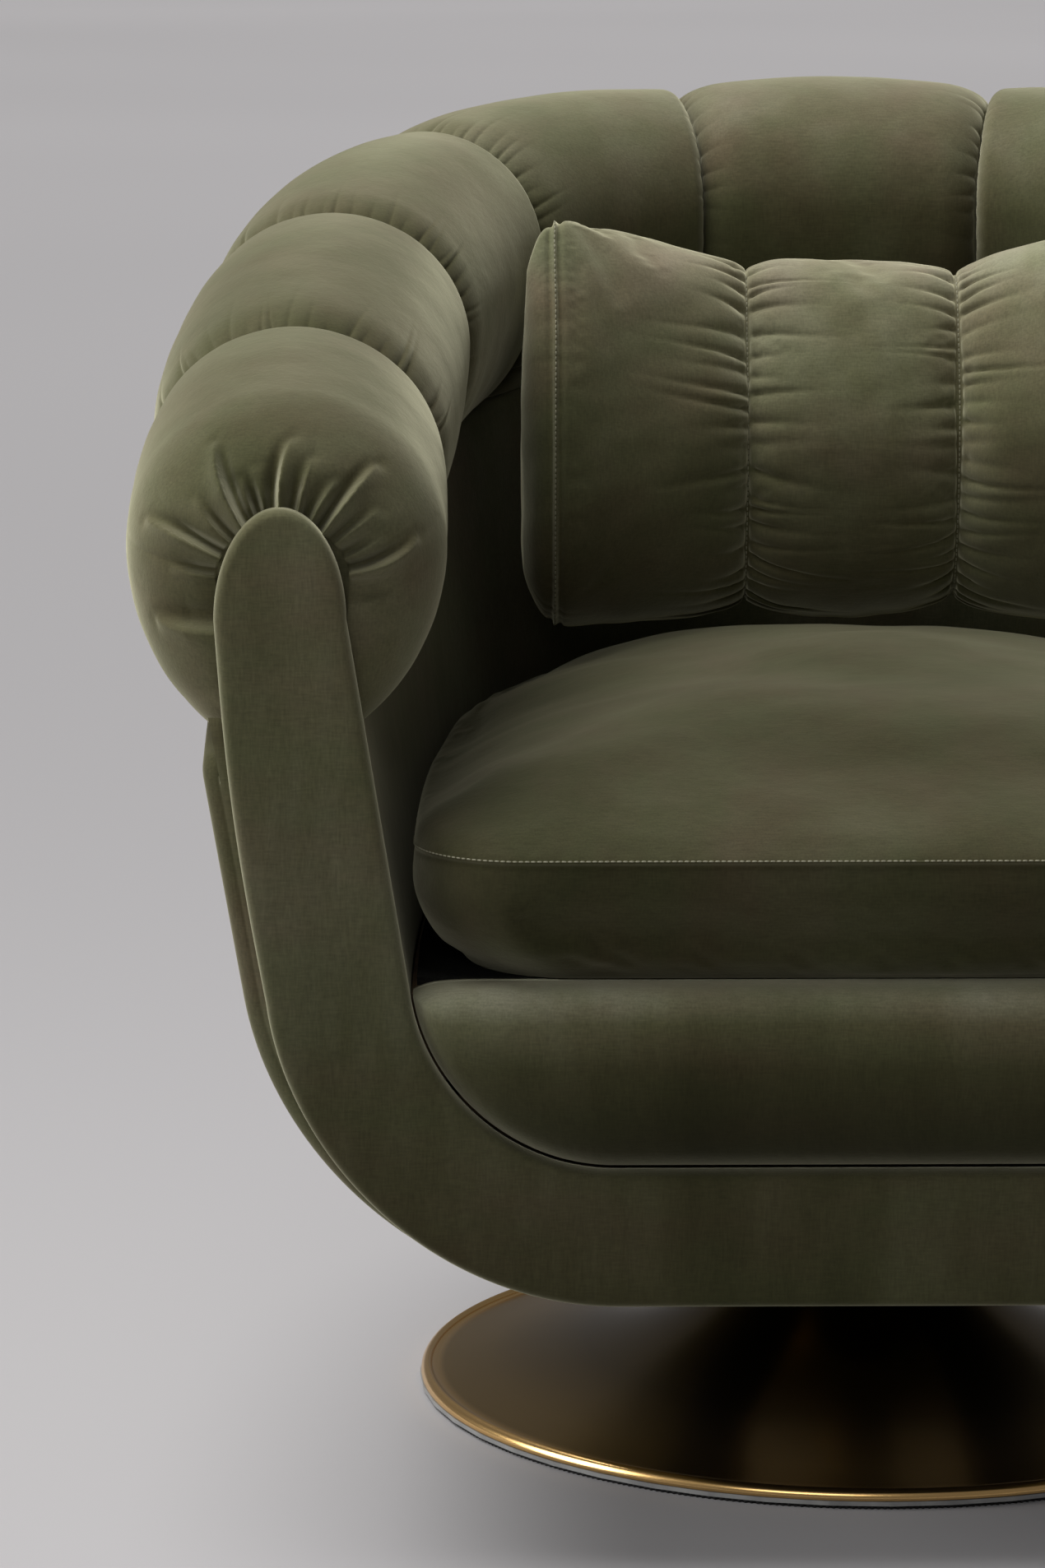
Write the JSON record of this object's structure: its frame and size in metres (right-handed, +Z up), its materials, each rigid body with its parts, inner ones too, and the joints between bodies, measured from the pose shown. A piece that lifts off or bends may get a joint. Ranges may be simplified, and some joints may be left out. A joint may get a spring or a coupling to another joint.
{
  "type": "swivel tub chair",
  "caption": "Velvet tub armchair with a fat channelled roll over arms and back, loose seat cushion and lumbar pillow, turning on a round trumpet-shaped brass foot.",
  "frame": {"origin": "on the floor, on the swivel's axis, at the middle of the chair's outline", "axes": "+Z up, the front of the chair faces -Y, +X to the sitter's left and to the viewer's right from the front"},
  "size_m": [0.8834, 0.83, 0.818],
  "materials": {
    "velvet": "olive green pile velvet, soft sheen at grazing angles",
    "brass": "brushed, satin",
    "steel": "plain zinc",
    "timber": "raw hardwood and plywood",
    "black_cloth": "matt non-woven",
    "webbing": "woven elastic",
    "black_rubber": "matt, finely ribbed edge",
    "clear_plastic": "translucent grey",
    "nylon": "natural"
  },
  "bodies": {
    "foot": {"foot_disc": "brass", "floor_ring": "black_rubber", "edge_ring": "clear_plastic", "ballast_plate": "steel", "base_washer": "steel", "column": "steel", "base_bolt": "steel", "spindle_bush": "nylon", "lower_race": "steel", "ball_cage": "steel"},
    "tub": {"upper_race": "steel", "spindle": "steel", "spindle_clip": "steel", "swivel_plate": "steel", "plate_bolt_1": "steel", "plate_bolt_2": "steel", "plate_bolt_3": "steel", "plate_bolt_4": "steel", "plate_nut_1": "steel", "plate_nut_2": "steel", "plate_nut_3": "steel", "plate_nut_4": "steel", "seat_board": "timber", "dust_cloth": "black_cloth", "front_former": "timber", "rim_rail": "timber", "seat_rail": "timber", "front_rail": "timber", "frame_rib_1": "timber", "frame_rib_2": "timber", "frame_rib_3": "timber", "frame_rib_4": "timber", "frame_rib_5": "timber", "long_webbing_1": "webbing", "long_webbing_2": "webbing", "long_webbing_3": "webbing", "long_webbing_4": "webbing", "cross_webbing_1": "webbing", "cross_webbing_2": "webbing", "cross_webbing_3": "webbing", "seat_deck": "black_cloth", "outer_shell": "velvet", "inner_lining": "velvet", "front_facing": "velvet", "border_pad": "velvet", "roll_arm_front_left": "velvet", "roll_arm_front_right": "velvet", "roll_arm_rear_left": "velvet", "roll_arm_rear_right": "velvet", "roll_shoulder_left": "velvet", "roll_shoulder_right": "velvet", "roll_corner_left": "velvet", "roll_corner_right": "velvet", "roll_back_centre": "velvet"},
    "seat_cushion": {"seat_cushion": "velvet"},
    "lumbar_pillow": {"lumbar_pillow": "velvet"}
  },
  "joints": [
    {"name": "swivel", "type": "hinge", "parent": "foot", "child": "tub", "pos_m": [0, 0, 0.15], "axis": [0, 0, 1], "continuous": true},
    {"name": "seat_cushion_slide", "type": "slide", "parent": "tub", "child": "seat_cushion", "axis": [0, -0.9962, 0.0872], "range_m": [0, 0.68]},
    {"name": "lumbar_pillow_lift", "type": "slide", "parent": "seat_cushion", "child": "lumbar_pillow", "axis": [0, -0.1736, 0.9848], "range_m": [0, 0.3]}
  ]
}
